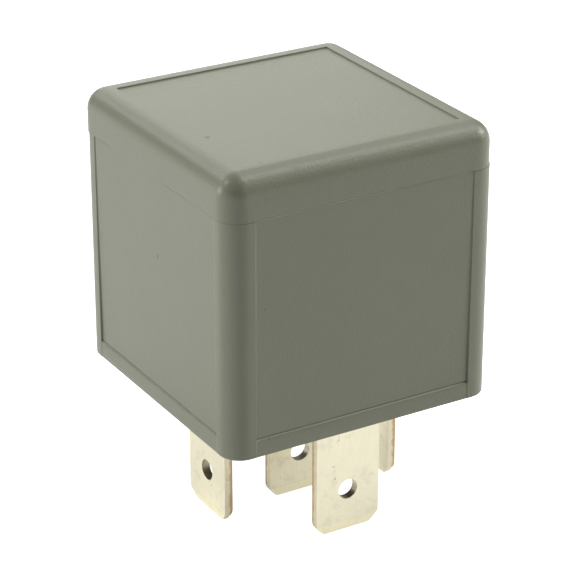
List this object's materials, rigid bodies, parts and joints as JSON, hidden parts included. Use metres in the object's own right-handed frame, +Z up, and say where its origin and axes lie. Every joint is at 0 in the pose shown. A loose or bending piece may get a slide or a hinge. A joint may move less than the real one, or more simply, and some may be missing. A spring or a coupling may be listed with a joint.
{
  "type": "automotive relay",
  "caption": "Plug-in automotive relay with a moulded square cover, flat push-on blades and a hinged armature that switches a changeover contact.",
  "frame": {"origin": "centre of the seating plane, which is the cover's lower rim; the blades reach below it", "axes": "+Z up, away from the socket; +X across the two coil blades, towards blade 85; -Y towards blade 87"},
  "size_m": [0.026, 0.026, 0.0361],
  "materials": {
    "cover_plastic": "fine spark-eroded texture, olive grey",
    "base_plastic": "moulded, dark grey",
    "tinned_brass": "dull tin plating, bare brass on the cut edges",
    "magnet_steel": "zinc plated, dull",
    "bobbin_plastic": "moulded, cream",
    "copper_wire": "enamelled copper",
    "spring_bronze": "rolled bronze strip",
    "contact_silver": "silver alloy",
    "resistor_ceramic": "lacquered",
    "solder_tin": "bright tin"
  },
  "bodies": {
    "frame": {"cover": "cover_plastic", "base": "base_plastic", "terminal_30": "tinned_brass", "terminal_85": "tinned_brass", "terminal_86": "tinned_brass", "terminal_87": "tinned_brass", "terminal_87a": "tinned_brass", "yoke": "magnet_steel", "core": "magnet_steel", "bobbin": "bobbin_plastic", "coil_winding": "copper_wire", "fixed_contact_no": "contact_silver", "fixed_contact_nc": "contact_silver", "yoke_rivets": "magnet_steel", "terminal_rivet": "magnet_steel", "resistor_body": "resistor_ceramic", "resistor_leads": "solder_tin", "solder_joints": "solder_tin"},
    "armature": {"armature": "magnet_steel", "armature_rivets": "magnet_steel", "contact_spring": "spring_bronze", "moving_contact": "contact_silver"}
  },
  "joints": [
    {"name": "armature_hinge", "type": "hinge", "parent": "frame", "child": "armature", "pos_m": [0, 0.0097, 0.01869], "axis": [1, 0, 0], "range_deg": [0, 2.4], "stiffness_Nm_per_rad": 0.1, "springref_deg": -4.3, "deforming": ["contact_spring"]}
  ]
}
